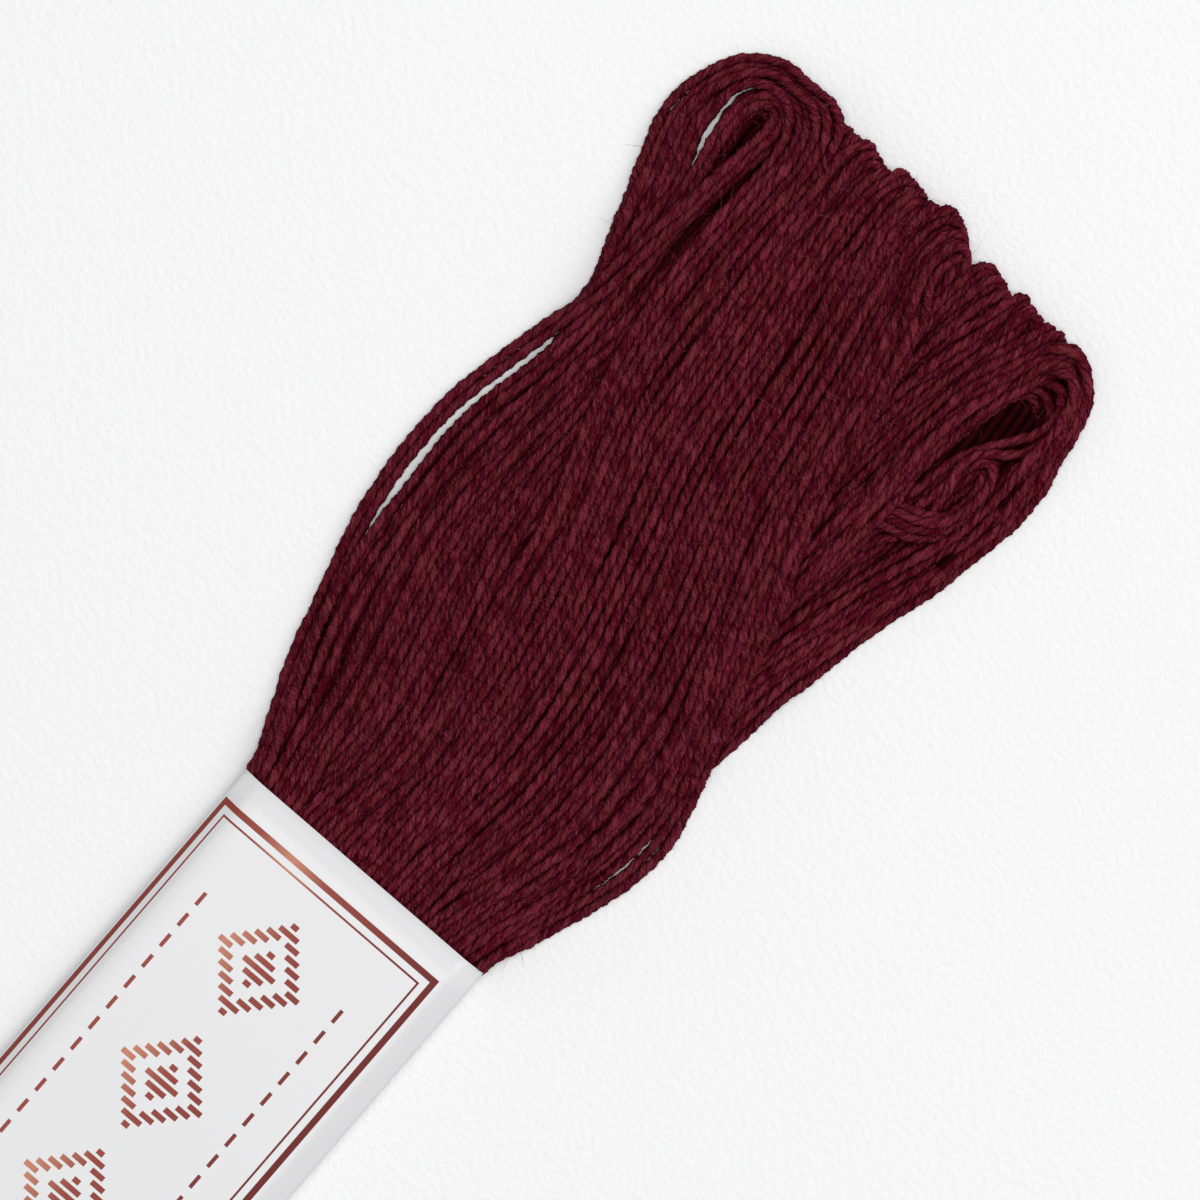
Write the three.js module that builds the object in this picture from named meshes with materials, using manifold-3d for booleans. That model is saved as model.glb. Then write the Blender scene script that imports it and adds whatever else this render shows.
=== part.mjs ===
// Skein of cotton embroidery thread: a flat hank of thread turns, bound round its middle by a paper band.
// Millimetres. +Y runs along the hank towards its looped end, +X to its right, +Z up from the table.

import * as THREE from 'three';
import { mergeVertices } from 'three/addons/utils/BufferGeometryUtils.js';
import Module from 'manifold-3d';

// Paper band: the sleeve's outside, its wall and the room between paper and thread
const BAND_WIDTH = 30;
const BAND_LENGTH = 84;
const BAND_HEIGHT = 4.4;
const PAPER = 1;
const CLEARANCE = 0.3;
const WAIST_SLACK = 0.05;
const ARC_STEPS = 10;

// Thread: locks of about three turns side by side lie on an under layer that rests flat on the table
const LOCK_HEIGHT = 1.5;
const UNDER_INSET = 0.8;
const UNDER_SINK = 0.5;
const VALLEY = 0.35;
const NOTCH = 0.5;
const UNEVEN = 0.15;
const IRREGULAR = 2.4;
const LOCK_ROOT = -4;
const END_TUCK = 3.5;
const TUCK_LIFT = 0.2;

// Facets of a ribbon between two rows of its table, and how near two corners may lie
const STEPS_PER_ROW = 1.5;
const CORNER_TOLERANCE = 0.01;

const COLOURS = { thread: 0x5a1220, paper: 0xf2f1f0 };

function table(columns, ...rows) {
  return rows.map((row) => Object.fromEntries(columns.map((name, i) => [name, row[i]])));
}

// The looped end. Lengths along Y count from the band's edge, and a sheet's row gives its two borders.
const SHEET_COLUMNS = ['y', 'left', 'right', 'z'];

// Turns that run straight up the left side and end inside the left loop's eye
const LEFT_SHEET = table(
  SHEET_COLUMNS,
  [LOCK_ROOT, -11, -2.5, 2],
  [6, -14.5, -3.2, 2.5],
  [18, -18.8, -5.2, 2.6],
  [30, -20.8, -6.6, 2.6],
  [40, -20.8, -9.4, 2.6],
  [50, -19.2, -13, 2.7],
  [58, -18.2, -14.6, 2.8],
  [66, -17.8, -14.8, 2.7],
  [73, -18.2, -15.2, 2.4],
  [78.5, -18.4, -16, 2],
);
const LEFT_LOCKS = 4;

// Turns that lean left across the hank and go over its end, each with the tip of its lobe
const MIDDLE_SHEET = table(
  SHEET_COLUMNS,
  [LOCK_ROOT, 2, 13, 2],
  [5, 2.2, 16.3, 2.6],
  [13, 2.2, 19.2, 2.8],
  [21, 1, 20.4, 2.9],
  [28, -0.6, 18.6, 3.2],
  [38, -3.4, 15, 3.5],
  [50, -6, 10.8, 3.5],
  [62, -7.8, 8, 3.4],
  [72, -8.8, 6.2, 3.2],
  [79, -9.4, 5.2, 3],
);
const MIDDLE_TIPS = [84.5, 84.9, 84.4, 84.1, 85.1, 84.4];

// Turns that come out from under the middle sheet and fan to the right before they go over the end
const RIGHT_SHEET = table(
  SHEET_COLUMNS,
  [26, 4.5, 12.5, 1.5],
  [44, 5.4, 14, 2.3],
  [58, 6, 15, 2.7],
  [70, 6.4, 16.6, 2.9],
  [79, 5.8, 18.2, 2.9],
);
const RIGHT_TIPS = [83.5, 82.8, 83.5, 83];

// Loops that turn flat on the table: each row joins the loop's eye to its rim
const LOOP_COLUMNS = ['eyeX', 'eyeY', 'rimX', 'rimY', 'z'];

const LEFT_LOOP = table(
  LOOP_COLUMNS,
  [-2.5, LOCK_ROOT, 2, LOCK_ROOT, 2],
  [-3.6, 10, 2.2, 10, 2.7],
  [-6.4, 26, 0, 26, 3.1],
  [-9.6, 38, -3.4, 38, 3.4],
  [-13.2, 50, -6, 50, 3.4],
  [-14.8, 60, -7.8, 60, 3.2],
  [-15, 70, -8.8, 70, 3.1],
  [-15.3, 77, -9.6, 79, 3],
  [-16.8, 80.2, -12.6, 84.6, 2.7],
  [-19.2, 81.4, -18.8, 85.3, 2.4],
  [-21.2, 80.4, -24.4, 82.9, 1.9],
  [-22, 77.2, -26.6, 78, 1.4],
  [-21.7, 73.4, -26.6, 73.4, 0.8],
  [-20.4, 68.5, -25, 68.2, 0.65],
  [-19.4, 62, -22.4, 62, 0.8],
  [-17, 53, -19.8, 54, 1.2],
  [-13, 40, -17, 40, 1.2],
);
const LEFT_LOOP_LOCKS = 3;

const RIGHT_LOOP = table(
  LOOP_COLUMNS,
  [14.8, 40, 11.8, 40, 1.6],
  [15.6, 54, 13.2, 54, 2.5],
  [16.8, 65, 14.6, 65, 2.8],
  [18.6, 75, 16.4, 76, 2.9],
  [20, 79, 18.4, 82.4, 2.9],
  [21.8, 79, 21.6, 82.6, 2.8],
  [22.8, 76.4, 24, 78, 2.6],
  [22.6, 71, 25.9, 71, 2.4],
  [20.6, 63, 25.8, 63, 2.3],
  [17.6, 54, 23.4, 54, 2.3],
  [15.6, 42, 21, 42, 2.2],
  [14.6, 30, 18.9, 30, 1.8],
  [12, 20, 16.4, 20, 1.2],
);
const RIGHT_LOOP_LOCKS = 2;

// Single locks that stray from the sheets
const STRAY_COLUMNS = ['x', 'y', 'z'];

// Outer turns that bow away from the left side, cross the left loop and end in its eye
const BOWED_LOCK = table(
  STRAY_COLUMNS,
  [-12.4, LOCK_ROOT, 2],
  [-15.4, 5, 2.2],
  [-18.6, 14, 1.8],
  [-21.6, 23, 1.1],
  [-22.9, 33, 0.65],
  [-22.6, 42, 0.65],
  [-21, 49, 1.6],
  [-19.6, 54.5, 2.8],
  [-18.8, 61, 3.2],
  [-18.4, 69, 3],
  [-18.4, 75, 2.5],
  [-18.6, 78.8, 1.6],
);
const BOWED_WIDTH = 2.3;

// Two loosened turns that curl inside the right loop's eye
const CURLED_LOCKS = [
  table(
    STRAY_COLUMNS,
    [17.6, 80.5, 2.6],
    [20.4, 78.6, 3.1],
    [22, 76, 3],
    [21.4, 71.8, 2.9],
    [19.2, 69, 2.8],
    [17.4, 65.6, 2.6],
    [16.6, 61, 2],
  ),
  table(
    STRAY_COLUMNS,
    [21.6, 70.5, 1.8],
    [20.8, 67, 2.8],
    [20, 62.8, 2.8],
    [17.8, 60.4, 2.7],
    [15, 58.6, 2.2],
  ),
];
const CURLED_WIDTH = 1.3;

// Under layer of the looped end, inside the borders of what lies on it
const UNDER_COLUMNS = ['y', 'left', 'right', 'top'];
const UNDER_LOOPED = table(
  UNDER_COLUMNS,
  [LOCK_ROOT, -13, 13, 1.6],
  [6, -15, 15.6, 2],
  [18, -18.6, 18.2, 2.2],
  [30, -19.9, 17.8, 2.5],
  [42, -19.5, 19.8, 2.7],
  [54, -18, 22, 2.7],
  [64, -17.6, 24, 2.4],
  [74, -17.2, 23.4, 2.2],
  [80.5, -14, 19.5, 2.2],
);

// The plain end: one sheet of turns that fan out and go over the end
const PLAIN_SHEET = table(
  SHEET_COLUMNS,
  [LOCK_ROOT, -13, 13, 2],
  [8, -17, 17, 2.7],
  [22, -20.4, 20.4, 3],
  [40, -21.8, 21.8, 3.2],
  [60, -22.8, 22.8, 3.2],
  [74, -23.4, 23.4, 3],
);
const PLAIN_LOCKS = 16;
const PLAIN_TIP = 81.5;
const PLAIN_LOBE = 0.5;
const PLAIN_CORNER = 4.5;
const CORNER_POWER = 6;
const UNDER_PLAIN = PLAIN_SHEET.map((row) => ({
  y: row.y, left: row.left + UNDER_INSET, right: row.right - UNDER_INSET, top: row.z - UNDER_SINK,
}));

const wasm = await Module();
wasm.setup();

function solidOf(geometry) {
  geometry.deleteAttribute('normal');
  geometry.deleteAttribute('uv');
  const merged = mergeVertices(geometry, 1e-4);
  return new wasm.Manifold(new wasm.Mesh({
    numProp: 3,
    vertProperties: new Float32Array(merged.attributes.position.array),
    triVerts: new Uint32Array(merged.index.array),
  }));
}

// The solid's surface, with corners that nearly coincide made one and the slivers between them gone
function geometryOf(solid) {
  const { vertProperties, triVerts } = solid.getMesh();
  const corner = (i) => new THREE.Vector3().fromArray(vertProperties, 3 * i);
  const twin = Array.from({ length: vertProperties.length / 3 }, (_, i) => i);
  const kept = (i) => (twin[i] === i ? i : kept(twin[i]));
  for (let i = 0; i < triVerts.length; i += 1) {
    const next = i % 3 === 2 ? i - 2 : i + 1;
    if (corner(triVerts[i]).distanceTo(corner(triVerts[next])) < CORNER_TOLERANCE) {
      twin[kept(triVerts[i])] = kept(triVerts[next]);
    }
  }
  const triangles = [];
  for (let i = 0; i < triVerts.length; i += 3) {
    const triangle = [...triVerts.slice(i, i + 3)].map(kept);
    if (new Set(triangle).size === 3) {
      triangles.push(...triangle);
    }
  }
  const geometry = new THREE.BufferGeometry();
  geometry.setAttribute('position', new THREE.BufferAttribute(vertProperties, 3));
  geometry.setIndex(triangles);
  return geometry;
}

// A ribbon of locks lying side by side between two borders: each lock is a ridge, and neighbours share
// the valley between them. Where tips are given, the ribbon goes over the end of the hank in lobes.
function ribbon(borderA, borderB, count, tips) {
  const columns = 2 * count;
  const lanes = [];
  for (let column = 0; column <= columns; column += 1) {
    const share = column / columns;
    const ridge = column % 2 === 1;
    const lift = ridge ? UNEVEN * Math.sin(IRREGULAR * column) : 0;
    const points = borderA.map((point, k) => point.clone().lerp(borderB[k], share).setZ(point.z + lift));
    if (tips) {
      const near = tips.slice(Math.max(0, Math.ceil(column / 2) - 1), Math.floor(column / 2) + 1);
      const tip = Math.min(...near) - (ridge ? 0 : NOTCH);
      points.push(...overTheEnd(points[points.length - 1], tip));
    }
    lanes.push(new THREE.CatmullRomCurve3(points, false, 'centripetal'));
  }
  const steps = Math.round(STEPS_PER_ROW * (lanes[0].points.length - 1));
  const slab = new THREE.BoxGeometry(1, 1, 1, columns, steps, 1);
  const corner = slab.attributes.position;
  for (let i = 0; i < corner.count; i += 1) {
    const column = Math.round((corner.getX(i) + 0.5) * columns);
    const along = corner.getY(i) + 0.5;
    const spot = lanes[column].getPoint(along);
    const before = lanes[Math.max(column - 1, 0)].getPoint(along);
    const after = lanes[Math.min(column + 1, columns)].getPoint(along);
    const side = after.sub(before);
    const rise = side.cross(lanes[column].getTangent(along)).normalize();
    const height = column % 2 === 1 ? LOCK_HEIGHT : LOCK_HEIGHT - 2 * VALLEY;
    spot.addScaledVector(rise, corner.getZ(i) * height);
    corner.setXYZ(i, spot.x, spot.y, Math.max(spot.z, 0));
  }
  return solidOf(slab);
}

// Points that carry a lock over the end at its tip and tuck it into the under layer
function overTheEnd(last, tip) {
  const low = LOCK_HEIGHT / 2 + TUCK_LIFT;
  const radius = (last.z - low) / 2;
  const turn = tip - LOCK_HEIGHT / 2 - radius;
  const points = [];
  for (const angle of [90, 30, -30, -90]) {
    const slope = THREE.MathUtils.degToRad(angle);
    points.push(new THREE.Vector3(
      last.x, turn + radius * Math.cos(slope), low + radius + radius * Math.sin(slope),
    ));
  }
  points.push(new THREE.Vector3(last.x, turn - END_TUCK, low));
  return points;
}

function sheet(rows, count, tips) {
  return ribbon(
    rows.map((row) => new THREE.Vector3(row.left, row.y, row.z)),
    rows.map((row) => new THREE.Vector3(row.right, row.y, row.z)),
    count,
    tips,
  );
}

function loop(rows, count) {
  return ribbon(
    rows.map((row) => new THREE.Vector3(row.eyeX, row.eyeY, row.z)),
    rows.map((row) => new THREE.Vector3(row.rimX, row.rimY, row.z)),
    count,
  );
}

function stray(rows, width) {
  const path = new THREE.CatmullRomCurve3(rows.map((row) => new THREE.Vector3(row.x, row.y, row.z)));
  const border = (half) => rows.map((row, k) => {
    const ahead = path.getTangent(k / (rows.length - 1));
    const side = new THREE.Vector3(ahead.y, -ahead.x, 0).normalize();
    return path.points[k].clone().addScaledVector(side, half);
  });
  return ribbon(border(-width / 2), border(width / 2), 1);
}

// The turns beneath the sheets, pressed flat on the table
function underLayer(rows) {
  const border = (name) => new THREE.CatmullRomCurve3(
    rows.map((row) => new THREE.Vector3(row[name], row.y, row.top)), false, 'centripetal',
  );
  const left = border('left');
  const right = border('right');
  const steps = Math.round(STEPS_PER_ROW * (rows.length - 1));
  const slab = new THREE.BoxGeometry(1, 1, 1, 1, steps, 1);
  const corner = slab.attributes.position;
  for (let i = 0; i < corner.count; i += 1) {
    const spot = (corner.getX(i) < 0 ? left : right).getPoint(corner.getY(i) + 0.5);
    corner.setXYZ(i, spot.x, spot.y, corner.getZ(i) < 0 ? 0 : spot.z);
  }
  return solidOf(slab);
}

// The band's section, drawn in from its outside by an inset
function bandSection(inset, PathClass = THREE.Shape) {
  const radius = BAND_HEIGHT / 2 - inset;
  const straight = BAND_WIDTH / 2 - BAND_HEIGHT / 2;
  const section = new PathClass();
  section.absarc(straight, BAND_HEIGHT / 2, radius, -Math.PI / 2, Math.PI / 2);
  section.absarc(-straight, BAND_HEIGHT / 2, radius, Math.PI / 2, 3 * Math.PI / 2);
  section.closePath();
  return section;
}

// A length of some section along Y, centred on the middle of the band
function alongHank(section, length) {
  const bar = new THREE.ExtrudeGeometry(section, { depth: length, bevelEnabled: false, curveSegments: ARC_STEPS });
  bar.rotateX(Math.PI / 2);
  bar.translate(0, length / 2, 0);
  return bar;
}

function looped() {
  return [
    underLayer(UNDER_LOOPED),
    sheet(LEFT_SHEET, LEFT_LOCKS),
    sheet(RIGHT_SHEET, RIGHT_TIPS.length, RIGHT_TIPS),
    loop(RIGHT_LOOP, RIGHT_LOOP_LOCKS),
    sheet(MIDDLE_SHEET, MIDDLE_TIPS.length, MIDDLE_TIPS),
    loop(LEFT_LOOP, LEFT_LOOP_LOCKS),
    stray(BOWED_LOCK, BOWED_WIDTH),
    ...CURLED_LOCKS.map((rows) => stray(rows, CURLED_WIDTH)),
  ].map((solid) => solid.translate([0, BAND_LENGTH / 2, 0]));
}

function plain() {
  const tips = [];
  for (let i = 0; i < PLAIN_LOCKS; i += 1) {
    const across = (2 * i + 1) / PLAIN_LOCKS - 1;
    tips.push(PLAIN_TIP - PLAIN_CORNER * across ** CORNER_POWER + PLAIN_LOBE * Math.sin(IRREGULAR * i));
  }
  return [
    underLayer(UNDER_PLAIN),
    sheet(PLAIN_SHEET, PLAIN_LOCKS, tips),
  ].map((solid) => solid.rotate([0, 0, 180]).translate([0, -BAND_LENGTH / 2, 0]));
}

function skein() {
  const waist = solidOf(alongHank(bandSection(PAPER + CLEARANCE + WAIST_SLACK), BAND_LENGTH));
  const room = new THREE.Shape()
    .moveTo(-BAND_WIDTH, -BAND_HEIGHT)
    .lineTo(BAND_WIDTH, -BAND_HEIGHT)
    .lineTo(BAND_WIDTH, 2 * BAND_HEIGHT)
    .lineTo(-BAND_WIDTH, 2 * BAND_HEIGHT);
  room.holes.push(bandSection(PAPER + CLEARANCE, THREE.Path));
  const pressedIn = solidOf(alongHank(room, BAND_LENGTH + 2 * CLEARANCE));
  let hank = waist;
  for (const piece of [...looped(), ...plain()]) {
    hank = hank.add(piece);
  }
  const bodies = hank.subtract(pressedIn).decompose();
  bodies.sort((a, b) => b.volume() - a.volume());
  return geometryOf(bodies[0]);
}

function band() {
  const section = bandSection(0);
  section.holes.push(bandSection(PAPER, THREE.Path));
  return alongHank(section, BAND_LENGTH);
}

function part(name, geometry, colour, roughness) {
  const mesh = new THREE.Mesh(geometry, new THREE.MeshStandardMaterial({ color: colour, roughness, metalness: 0 }));
  mesh.name = name;
  return mesh;
}

const group = new THREE.Group();
group.add(part('skein', skein(), COLOURS.thread, 0.9));
group.add(part('band', band(), COLOURS.paper, 0.45));

const reach = new THREE.Box3().setFromObject(group);
const middle = reach.getCenter(new THREE.Vector3());
group.position.set(-middle.x, -middle.y, -reach.min.z);

export default group;
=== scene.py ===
import math
import bpy
import numpy as np
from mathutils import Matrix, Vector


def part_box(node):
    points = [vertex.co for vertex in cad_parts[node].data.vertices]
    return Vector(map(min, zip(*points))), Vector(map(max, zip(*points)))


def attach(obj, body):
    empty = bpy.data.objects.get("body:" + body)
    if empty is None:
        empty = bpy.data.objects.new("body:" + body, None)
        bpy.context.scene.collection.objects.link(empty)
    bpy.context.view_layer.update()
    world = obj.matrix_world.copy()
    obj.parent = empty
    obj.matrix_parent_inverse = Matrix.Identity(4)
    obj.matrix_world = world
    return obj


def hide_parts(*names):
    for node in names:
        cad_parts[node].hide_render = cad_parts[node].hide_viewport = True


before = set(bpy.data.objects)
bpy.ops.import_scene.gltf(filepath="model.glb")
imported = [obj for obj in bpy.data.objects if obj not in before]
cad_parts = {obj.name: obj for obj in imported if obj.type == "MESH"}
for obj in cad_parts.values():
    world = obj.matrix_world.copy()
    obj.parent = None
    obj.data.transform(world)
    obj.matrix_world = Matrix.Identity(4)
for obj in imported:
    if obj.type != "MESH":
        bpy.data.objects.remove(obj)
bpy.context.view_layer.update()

# View: the camera hangs straight above the looped end, turned so that the hank runs from the lower left of
# the picture to its upper right. Lengths are in millimetres from the middle of the band's upper edge.
MM = 0.001
band_low, band_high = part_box("band")
BAND_MIDDLE = (band_low.x + band_high.x) / 2
BAND_EDGE = band_high.y
PICTURE_WIDTH = 115.4
PICTURE_CENTRE = (0.1, 34.4)
PICTURE_LEAN = math.radians(40.8)
CAMERA_HEIGHT = 600
SENSOR_WIDTH = 36

camera_lens = bpy.data.cameras.new("camera")
camera_lens.sensor_width = SENSOR_WIDTH
camera_lens.lens = SENSOR_WIDTH * CAMERA_HEIGHT / PICTURE_WIDTH
camera = bpy.data.objects.new("camera", camera_lens)
camera.location = (
    BAND_MIDDLE + PICTURE_CENTRE[0] * MM,
    BAND_EDGE + PICTURE_CENTRE[1] * MM,
    CAMERA_HEIGHT * MM,
)
camera.rotation_euler = (0, 0, PICTURE_LEAN)
bpy.context.collection.objects.link(camera)
bpy.context.scene.camera = camera
bpy.context.scene.view_settings.view_transform = "Standard"

# Turns of the looped end: soft cotton thread wound into a flat hank. Each turn comes up from the band, bends
# back at the far end, flat on the table or over the end, and goes back down into the band underneath.
THREAD = 0.93
LAID_STEP = 0.8
chance = np.random.default_rng(17)


def lengths(points):
    """Length along a run of points, at each of them."""
    steps = np.linalg.norm(np.diff(points, axis=0), axis=1)
    return np.concatenate(([0.0], np.cumsum(steps)))


def smooth_run(points, places):
    """Points of the smooth curve through a run, at places given as lengths along it."""
    knots = lengths(points)
    slope = np.gradient(points, knots, axis=0)
    k = np.clip(np.searchsorted(knots, places, side="right") - 1, 0, len(points) - 2)
    span = (knots[k + 1] - knots[k])[:, None]
    u = (places - knots[k])[:, None] / span
    start = (2 * u**3 - 3 * u**2 + 1) * points[k] + (u**3 - 2 * u**2 + u) * span * slope[k]
    end = (3 * u**2 - 2 * u**3) * points[k + 1] + (u**3 - u**2) * span * slope[k + 1]
    return start + end


def lane(rows, share):
    """Run of one thread in a sheet of turns. Each row has a point on both borders, and a height."""
    rows = np.array(rows, float)
    return np.hstack((rows[:, 0:2] + share * (rows[:, 2:4] - rows[:, 0:2]), rows[:, 4:5]))


BEND_DEGREES = (60, 0, -60)


def over_end(front, back, tip):
    """Joins a leg on the front to its leg on the back by a bend over the end of the hank."""
    top, low = front[-1], back[0]
    radius = (top[2] - low[2]) / 2
    bend = []
    for degrees in BEND_DEGREES:
        angle = math.radians(degrees)
        share = 0.5 - degrees / 180
        bend.append((
            top[0] + share * (low[0] - top[0]),
            tip - THREAD / 2 - radius * (1 - math.cos(angle)),
            (top[2] + low[2]) / 2 + radius * math.sin(angle),
        ))
    return np.vstack((front, bend, back))


# Columns: share of the way across, fall from the tip, share of the way down
LEANING_BEND = ((0.05, 1.5, 0), (0.34, 0, 0.1), (0.76, 0.6, 0.4), (1, 2.6, 0.75))


def leaning_end(front, back, tip):
    """Joins a leg on the front to its leg on the back by a bend that leans over sideways as it goes over."""
    top, low = front[-1], back[0]
    bend = [
        (top[0] + across * (low[0] - top[0]), tip - THREAD / 2 - fall, top[2] + down * (low[2] - top[2]))
        for across, fall, down in LEANING_BEND
    ]
    return np.vstack((front, bend, back))


# Columns: x and y on one border of the sheet, x and y on its other border, height
BOWED_TURNS = 2
BOWED = [
    (-14.4, 0, -13.1, 0, 2.8), (-16.6, 5, -14.9, 5, 2.6), (-18.5, 10, -16.8, 10, 2.2),
    (-20.2, 15, -18.5, 15, 1.7), (-22, 20, -20.3, 20, 1.2), (-23.4, 25, -21.7, 25, 0.8),
    (-24, 30, -22.3, 30, 0.6), (-24.15, 35, -22.45, 35, 0.6), (-23.95, 40, -22.15, 40, 0.6),
    (-23, 45, -21.2, 45, 1), (-21.6, 50, -19.95, 50.5, 2), (-20, 55, -18.5, 55.5, 2.9),
    (-19.6, 62, -18, 62, 3.1), (-19, 69, -17.5, 69, 3.1), (-18.1, 73.6, -16.9, 74.2, 3),
    (-17.4, 76.6, -16.4, 77.4, 2.6), (-17.1, 78.8, -16.1, 79.6, 2.1), (-17.4, 80.5, -16.8, 81.5, 1.9),
    (-18.7, 81, -19, 82, 1.8), (-19.8, 80, -20.2, 80.7, 1.7), (-20.1, 78, -20.7, 78.3, 1.6),
    (-19.8, 75.4, -20.45, 75.6, 1.4), (-19, 72.6, -19.7, 72.8, 1.1), (-18.5, 70, -19.2, 70, 0.9),
    (-17.8, 62, -18.8, 62, 0.6), (-14, 50, -15.4, 50, 0.5), (-11, 40, -14.4, 40, 0.5),
    (-11, 20, -14.4, 20, 0.5), (-9.6, 9, -11, 9, 0.7), (-8, 0, -9.4, 0, 0.9),
]
EYE_TURNS = 3
EYE = [
    (-12.9, 0, -11.2, 0, 2.8), (-17.2, 9, -13.8, 9, 2.7), (-20, 18, -16.2, 18, 2.6),
    (-21, 24, -17.6, 24, 2.4), (-21.6, 32, -18.4, 32, 2.3), (-21.6, 38, -18.2, 38, 2.2),
    (-21.1, 42, -17.7, 42, 2.2), (-19.7, 48, -16.9, 48, 2.3), (-19, 54, -16.7, 54, 2.4),
    (-19.2, 60, -17, 60, 2.2), (-19.3, 65, -17.3, 65, 2.2), (-18.8, 70, -17.2, 70.5, 2.2),
    (-18.1, 74.4, -16.8, 75.4, 2.1), (-17.5, 77.2, -16.4, 78.6, 1.7), (-17.6, 79.2, -16.7, 80.4, 1.4),
    (-18.5, 80.2, -18.5, 81.4, 1.2), (-19.6, 79.6, -20.1, 80.8, 1), (-20, 77.8, -20.6, 78.4, 0.9),
    (-19.7, 75.2, -20.3, 75.5, 0.8), (-19, 72.4, -19.7, 72.7, 0.7), (-18.4, 70, -19.1, 70.4, 0.6),
    (-17.2, 61, -18.6, 61, 0.6), (-11, 48, -13.6, 48, 0.5), (-7, 38, -10.4, 38, 0.5),
    (-7, 20, -10.4, 20, 0.5), (-6, 9, -9, 9, 0.7), (-5, 0, -7.6, 0, 0.9),
]
LEFT_UNDER_TURNS = 13
LEFT_UNDER_FRONT = [
    (-11, 0, -3.6, 0, 2.85), (-13.6, 9, -4.6, 9, 2.7), (-16, 18, -5.8, 18, 2.5),
    (-17.6, 26, -7.4, 26, 2.2), (-18.3, 34, -9.4, 34, 1.8), (-17.6, 42, -11, 42, 1.4),
    (-16.8, 50, -11, 50, 1.1), (-16.6, 58, -10.2, 58, 1), (-16.2, 63, -10, 63, 1), (-15.3, 68, -9.8, 68, 1),
    (-14.5, 73, -9.8, 73, 1), (-14, 78, -9.8, 78, 1),
]
LEFT_UNDER_BACK = [
    (-13.6, 76, -9, 76, 0.5), (-14.4, 62, -8.4, 62, 0.5), (-9, 50, -1.4, 50, 0.5),
    (-5.8, 38, 2.6, 38, 0.5), (-5.8, 20, 2.6, 20, 0.5), (-5, 9, 1.6, 9, 0.7), (-4.4, 0, 0.6, 0, 0.9),
]
LEFT_UNDER_TIP = 83.8
LEFT_LOOP_TURNS = 6
LEFT_LOOP = [
    (-3.4, 0, -0.2, 0, 2.9), (-4.4, 10, -0.8, 10, 2.9), (-5.8, 20, -1.2, 20, 3), (-7.1, 27, -2, 27, 3.1),
    (-8.2, 33, -3.6, 33, 3.5), (-11, 43, -6.2, 43, 3.6), (-13.5, 52, -8.4, 52, 3.5),
    (-15, 60, -9.6, 60, 3.3), (-15.3, 68, -10.2, 68, 3.1), (-15.2, 74, -10.4, 75, 3),
    (-15.3, 77, -10.6, 80, 2.9), (-16.3, 79.9, -11.3, 83, 2.8), (-17.6, 81.3, -13.4, 84.8, 2.6),
    (-19.1, 81.8, -16.4, 84.9, 2.4), (-20.5, 81.4, -20, 85.3, 2.2), (-21.85, 79.9, -23.5, 83.3, 1.8),
    (-22.35, 77.4, -25.9, 79.6, 1.4), (-22.25, 75.2, -26.75, 75.4, 1.2), (-21.7, 72.9, -25.8, 71.4, 1.1),
    (-20.8, 70.4, -24.5, 68.2, 1), (-20.4, 66, -23.2, 65.2, 0.9), (-19.7, 62, -21.7, 61.6, 0.8),
    (-18, 57.5, -20.3, 57.5, 0.6), (-16, 50, -19.2, 50, 0.5), (-13, 40, -20, 40, 0.5),
    (-13, 20, -20, 20, 0.5), (-11.2, 9, -16.4, 9, 0.7), (-9.6, 0, -14, 0, 0.9),
]
MIDDLE_TURNS = 18
MIDDLE_FRONT = [
    (0, 0, 10.9, 0, 2.9), (-0.4, 6, 13, 6, 2.9), (-0.6, 12, 14.8, 12, 2.9), (-0.8, 18, 16, 18, 2.9),
    (-1.3, 24, 15.9, 24, 3), (-2.6, 29.5, 15.1, 29, 3.2), (-4.6, 36, 13, 36, 3.4), (-6.4, 44, 10.6, 44, 3.5),
    (-8.2, 52, 8.4, 52, 3.5), (-9.4, 60, 6.7, 60, 3.4), (-10, 68, 5.2, 68, 3.3), (-10.3, 75, 3.6, 75, 3.1),
    (-10.4, 80, 2.4, 79.4, 3),
]
MIDDLE_BACK = [
    (-10.6, 78, 4.4, 78, 0.5), (-10, 62, 5.4, 62, 0.5), (-8.4, 50, 8, 50, 0.6), (-11, 38, 8, 38, 1.1),
    (-12, 20, 8, 20, 1.1), (-10.4, 9, 6.4, 9, 1), (-9, 0, 5, 0, 0.9),
]
LOOSE_TURNS = 5
LOOSE_FRONT = [
    (10.9, 0, 14.2, 0, 2.9), (13, 6, 17.1, 6, 2.4), (14.4, 11, 18.9, 11, 1.8), (15.7, 16.5, 20.4, 16.5, 1.3),
    (16.05, 21, 20.7, 21, 1.2), (15.8, 25.5, 20, 25.5, 1.7), (15, 29.5, 18.9, 29.2, 2.6),
    (13, 36, 16.6, 36, 3.5), (10.7, 44, 13.8, 44, 3.6), (8.5, 52, 11.3, 52, 3.6), (6.8, 60, 9.3, 60, 3.4),
    (5.4, 68, 7.6, 68, 3.3), (3.7, 75, 5.6, 75, 3.1), (2.5, 79, 4, 79, 3),
]
LOOSE_BACK = [
    (4.8, 76, 6.8, 76, 0.5), (6.4, 62, 8.8, 62, 0.5), (9.4, 50, 11.6, 50, 0.5), (10.8, 38, 13, 38, 0.5),
    (10.4, 20, 12.6, 20, 0.5), (9.4, 9, 11, 9, 0.7), (8.2, 0, 9.6, 0, 0.9),
]
FAN_TURNS = 12
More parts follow.
